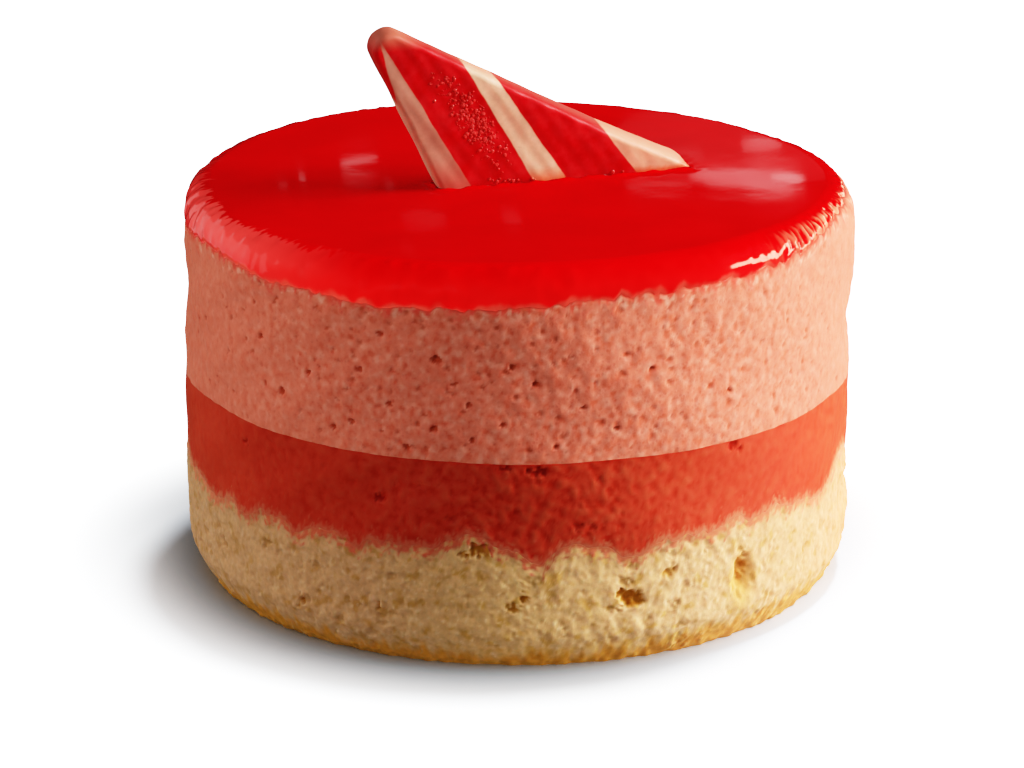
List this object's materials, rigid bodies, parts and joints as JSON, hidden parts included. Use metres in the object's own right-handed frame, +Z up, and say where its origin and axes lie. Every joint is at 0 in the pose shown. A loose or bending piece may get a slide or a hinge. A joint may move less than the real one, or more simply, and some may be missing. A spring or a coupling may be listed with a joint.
{
  "type": "strawberry mousse cake",
  "caption": "Small round layered cake: sponge base, smooth strawberry layer, airy strawberry mousse, glossy red glaze and a striped chocolate plate on top.",
  "frame": {"origin": "centre of the flat underside", "axes": "+Z up through the layers, -Y towards the side seen in the picture, +X to the right in the picture"},
  "size_m": [0.0766, 0.0756, 0.0637],
  "materials": {
    "sponge": "open crumb of pale yellow vanilla sponge with a browned underside",
    "strawberry_cream": "smooth, moist, satin red strawberry layer",
    "mousse": "soft pink mousse with fine air bubbles",
    "glaze": "wet, mirror-like red glaze",
    "chocolate": "satin coloured chocolate, red with slanting cream-white stripes"
  },
  "bodies": {
    "root": {"sponge_base": "sponge", "strawberry_layer": "strawberry_cream", "mousse_layer": "mousse", "glaze": "glaze", "chocolate_shard": "chocolate"}
  },
  "joints": []
}
